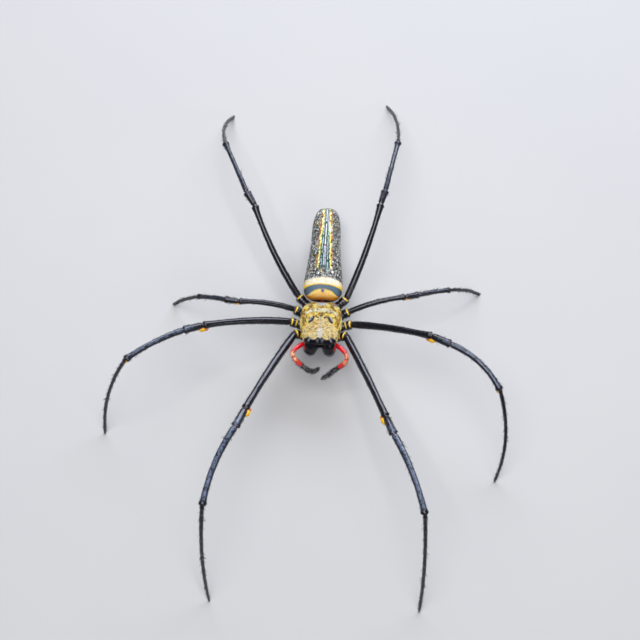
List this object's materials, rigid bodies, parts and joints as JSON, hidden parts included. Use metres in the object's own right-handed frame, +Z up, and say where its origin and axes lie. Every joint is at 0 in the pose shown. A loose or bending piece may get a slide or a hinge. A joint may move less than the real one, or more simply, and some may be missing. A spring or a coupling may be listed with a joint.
{
  "type": "golden silk orb weaver spider",
  "caption": "Life-size still model of an adult female golden silk orb weaver standing on her feet, long banded-and-lined abdomen behind a golden head shield.",
  "frame": {"origin": "on the floor, under the middle of the footprint of the whole spider", "axes": "+Y from the head towards the tail, +Z up from the floor through the back, +X towards the spider's own left"},
  "size_m": [0.0976, 0.1366, 0.0256],
  "materials": {
    "leg_cuticle": "glossy black with a blue-violet sheen",
    "black_cuticle": "polished black",
    "carapace_down": "short golden down over dark cuticle",
    "abdomen_pattern": "satin, dark with silver and yellow lines",
    "feeler_red": "satin red",
    "brown_cuticle": "satin red-brown",
    "eye_lens": "mirror-glossy black"
  },
  "bodies": {
    "root": {"abdomen": "abdomen_pattern", "carapace": "carapace_down", "chelicera_left": "black_cuticle", "chelicera_right": "black_cuticle", "eye_back_middle_left": "eye_lens", "eye_back_middle_right": "eye_lens", "eye_back_side_left": "eye_lens", "eye_back_side_right": "eye_lens", "eye_front_middle_left": "eye_lens", "eye_front_middle_right": "eye_lens", "eye_front_side_left": "eye_lens", "eye_front_side_right": "eye_lens", "fang_left": "black_cuticle", "fang_right": "black_cuticle", "leg_1_left_femur": "leg_cuticle", "leg_1_left_foot": "leg_cuticle", "leg_1_left_hip": "leg_cuticle", "leg_1_left_patella": "leg_cuticle", "leg_1_left_tibia": "leg_cuticle", "leg_1_right_femur": "leg_cuticle", "leg_1_right_foot": "leg_cuticle", "leg_1_right_hip": "leg_cuticle", "leg_1_right_patella": "leg_cuticle", "leg_1_right_tibia": "leg_cuticle", "leg_2_left_femur": "leg_cuticle", "leg_2_left_foot": "leg_cuticle", "leg_2_left_hip": "leg_cuticle", "leg_2_left_patella": "leg_cuticle", "leg_2_left_tibia": "leg_cuticle", "leg_2_right_femur": "leg_cuticle", "leg_2_right_foot": "leg_cuticle", "leg_2_right_hip": "leg_cuticle", "leg_2_right_patella": "leg_cuticle", "leg_2_right_tibia": "leg_cuticle", "leg_3_left_femur": "leg_cuticle", "leg_3_left_foot": "leg_cuticle", "leg_3_left_hip": "leg_cuticle", "leg_3_left_patella": "leg_cuticle", "leg_3_left_tibia": "leg_cuticle", "leg_3_right_femur": "leg_cuticle", "leg_3_right_foot": "leg_cuticle", "leg_3_right_hip": "leg_cuticle", "leg_3_right_patella": "leg_cuticle", "leg_3_right_tibia": "leg_cuticle", "leg_4_left_femur": "leg_cuticle", "leg_4_left_foot": "leg_cuticle", "leg_4_left_hip": "leg_cuticle", "leg_4_left_patella": "leg_cuticle", "leg_4_left_tibia": "leg_cuticle", "leg_4_right_femur": "leg_cuticle", "leg_4_right_foot": "leg_cuticle", "leg_4_right_hip": "leg_cuticle", "leg_4_right_patella": "leg_cuticle", "leg_4_right_tibia": "leg_cuticle", "mouthparts": "black_cuticle", "palp_left": "feeler_red", "palp_right": "feeler_red", "pedicel": "brown_cuticle", "spinnerets": "brown_cuticle", "sternum": "black_cuticle"}
  },
  "joints": []
}
